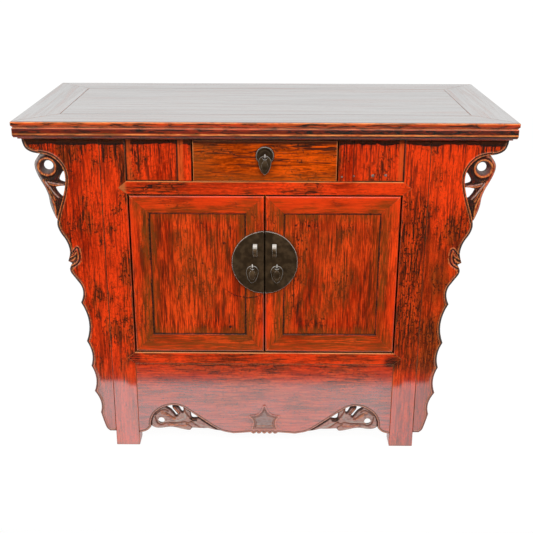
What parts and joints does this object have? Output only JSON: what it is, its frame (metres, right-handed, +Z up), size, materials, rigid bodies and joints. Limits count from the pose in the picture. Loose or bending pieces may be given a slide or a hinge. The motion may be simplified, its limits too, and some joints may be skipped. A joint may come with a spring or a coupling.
{
  "type": "altar cabinet",
  "caption": "Red lacquered altar cabinet with a mitred frame top, one drawer, two pivot-hung doors with a round lock plate, scalloped wings and a pierced carved apron",
  "frame": {"origin": "on the floor below the middle of the top", "axes": "+X to the viewer's right, +Y toward the back, +Z up; the doors and the drawer face -Y"},
  "size_m": [1.15, 0.55, 0.85],
  "materials": {
    "red_lacquer": "red-orange lacquer on elm, streaked dark with age",
    "worn_top_lacquer": "worn reddish brown lacquer on elm, polished by use",
    "amber_drawer_lacquer": "amber brown lacquer on elm",
    "bare_elm": "unfinished aged elm",
    "dark_bronze": "dark patinated brass alloy with bright worn edges"
  },
  "bodies": {
    "carcass": {"top_front_rail": "worn_top_lacquer", "top_back_rail": "worn_top_lacquer", "top_left_end": "worn_top_lacquer", "top_right_end": "worn_top_lacquer", "top_panel": "worn_top_lacquer", "top_batten_left": "bare_elm", "top_batten_right": "bare_elm", "post_front_left": "red_lacquer", "post_front_right": "red_lacquer", "post_back_left": "red_lacquer", "post_back_right": "red_lacquer", "drawer_rail": "red_lacquer", "door_rail": "red_lacquer", "side_upper_rail_left": "red_lacquer", "side_upper_rail_right": "red_lacquer", "side_lower_rail_left": "red_lacquer", "side_lower_rail_right": "red_lacquer", "side_panel_left": "red_lacquer", "side_panel_right": "red_lacquer", "back_upper_rail": "bare_elm", "back_middle_rail": "bare_elm", "back_lower_rail": "bare_elm", "back_panel": "bare_elm", "back_upper_panel": "bare_elm", "bottom_board": "bare_elm", "divider_left": "red_lacquer", "divider_right": "red_lacquer", "frieze_panel_left": "red_lacquer", "frieze_panel_right": "red_lacquer", "drawer_runner_left": "bare_elm", "drawer_runner_right": "bare_elm", "wing_left": "red_lacquer", "wing_right": "red_lacquer", "apron": "red_lacquer"},
    "drawer": {"drawer_front": "amber_drawer_lacquer", "drawer_side_left": "bare_elm", "drawer_side_right": "bare_elm", "drawer_back": "bare_elm", "drawer_bottom": "bare_elm", "drawer_pull_plate": "dark_bronze", "drawer_pull_eye": "dark_bronze"},
    "door_left": {"door_left_hinge_stile": "red_lacquer", "door_left_meeting_stile": "red_lacquer", "door_left_top_rail": "red_lacquer", "door_left_bottom_rail": "red_lacquer", "door_left_panel": "red_lacquer", "lock_plate_left": "dark_bronze", "lock_staple_left": "dark_bronze", "door_pull_left_eye": "dark_bronze"},
    "door_right": {"door_right_hinge_stile": "red_lacquer", "door_right_meeting_stile": "red_lacquer", "door_right_top_rail": "red_lacquer", "door_right_bottom_rail": "red_lacquer", "door_right_panel": "red_lacquer", "lock_plate_right": "dark_bronze", "lock_staple_right": "dark_bronze", "door_pull_right_eye": "dark_bronze"},
    "drawer_pull": {"drawer_pull": "dark_bronze"},
    "door_pull_left": {"door_pull_left": "dark_bronze"},
    "door_pull_right": {"door_pull_right": "dark_bronze"}
  },
  "joints": [
    {"name": "drawer_slide", "type": "slide", "parent": "carcass", "child": "drawer", "axis": [0, -1, 0], "range_m": [0, 0.3]},
    {"name": "door_left_swing", "type": "hinge", "parent": "carcass", "child": "door_left", "pos_m": [-0.3113, -0.242, 0.46975], "axis": [0, 0, -1], "range_deg": [0, 100]},
    {"name": "door_right_swing", "type": "hinge", "parent": "carcass", "child": "door_right", "pos_m": [0.3113, -0.242, 0.46975], "axis": [0, 0, 1], "range_deg": [0, 100]},
    {"name": "drawer_pull_swing", "type": "hinge", "parent": "drawer", "child": "drawer_pull", "pos_m": [0, -0.2585, 0.768], "axis": [-1, 0, 0], "range_deg": [-4, 85]},
    {"name": "door_pull_left_swing", "type": "hinge", "parent": "door_left", "child": "door_pull_left", "pos_m": [-0.0295, -0.2585, 0.4988], "axis": [-1, 0, 0], "range_deg": [-4, 85]},
    {"name": "door_pull_right_swing", "type": "hinge", "parent": "door_right", "child": "door_pull_right", "pos_m": [0.0295, -0.2585, 0.4988], "axis": [-1, 0, 0], "range_deg": [-4, 85]}
  ]
}
